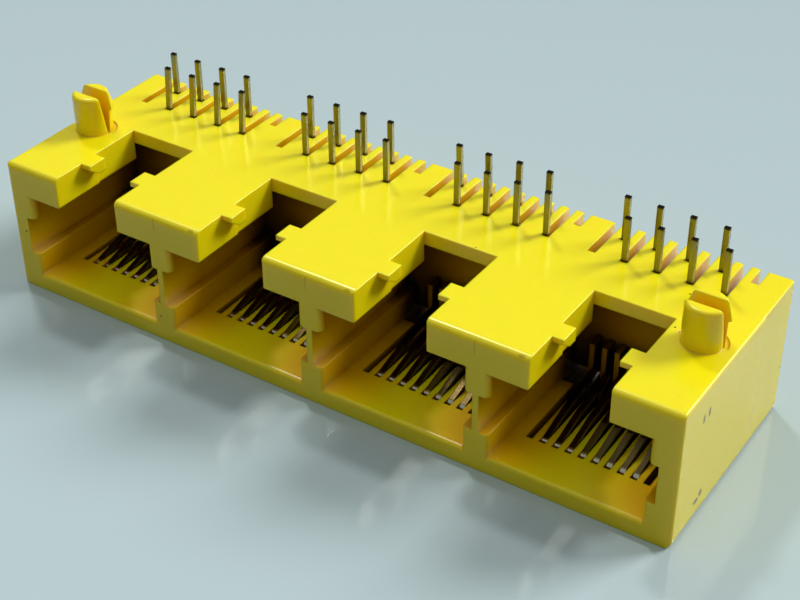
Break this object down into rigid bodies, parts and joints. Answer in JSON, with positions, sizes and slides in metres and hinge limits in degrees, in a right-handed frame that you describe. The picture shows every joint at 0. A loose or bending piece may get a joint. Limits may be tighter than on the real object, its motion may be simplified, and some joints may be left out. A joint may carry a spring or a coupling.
{
  "type": "ganged modular ethernet jack",
  "caption": "Board-mounted modular ethernet jack: a moulded row of plug ports with latch slots, spring contacts, staggered solder tails and split locating pegs.",
  "frame": {"origin": "centre of the outer face that it rests on, under the middle of the housing's box", "axes": "+X along the row of ports, -Y out of the ports' mouths, +Z towards the circuit board, the way the tails and pegs point"},
  "size_m": [0.0582, 0.0178, 0.0149],
  "materials": {
    "housing": "glossy moulded yellow plastic",
    "contact": "plated copper alloy, worn grey-gold"
  },
  "bodies": {
    "root": {"housing": "housing", "port1_contact_1": "contact", "port1_contact_2": "contact", "port1_contact_3": "contact", "port1_contact_4": "contact", "port1_contact_5": "contact", "port1_contact_6": "contact", "port1_contact_7": "contact", "port1_contact_8": "contact", "port2_contact_1": "contact", "port2_contact_2": "contact", "port2_contact_3": "contact", "port2_contact_4": "contact", "port2_contact_5": "contact", "port2_contact_6": "contact", "port2_contact_7": "contact", "port2_contact_8": "contact", "port3_contact_1": "contact", "port3_contact_2": "contact", "port3_contact_3": "contact", "port3_contact_4": "contact", "port3_contact_5": "contact", "port3_contact_6": "contact", "port3_contact_7": "contact", "port3_contact_8": "contact", "port4_contact_1": "contact", "port4_contact_2": "contact", "port4_contact_3": "contact", "port4_contact_4": "contact", "port4_contact_5": "contact", "port4_contact_6": "contact", "port4_contact_7": "contact", "port4_contact_8": "contact"}
  },
  "joints": []
}
